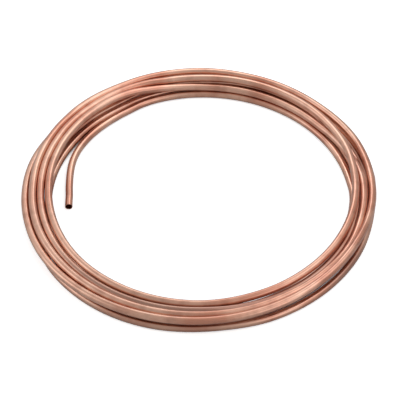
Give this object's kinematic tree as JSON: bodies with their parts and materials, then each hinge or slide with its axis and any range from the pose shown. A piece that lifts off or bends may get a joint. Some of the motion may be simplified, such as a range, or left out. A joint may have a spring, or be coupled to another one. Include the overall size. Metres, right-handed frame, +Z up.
{
  "type": "copper tube coil",
  "caption": "Coil of soft copper tube lying flat, with one free end bending away into its round central bore and both tube ends open.",
  "frame": {"origin": "on the floor, under the middle of the coil's outline", "axes": "+Z up along the coil's axis; +X to the right, towards the side away from the free inner end; -Y towards the viewer"},
  "size_m": [0.4684, 0.4752, 0.0322],
  "materials": {
    "copper": "polished"
  },
  "bodies": {
    "root": {"copper_tube": "copper"}
  },
  "joints": []
}
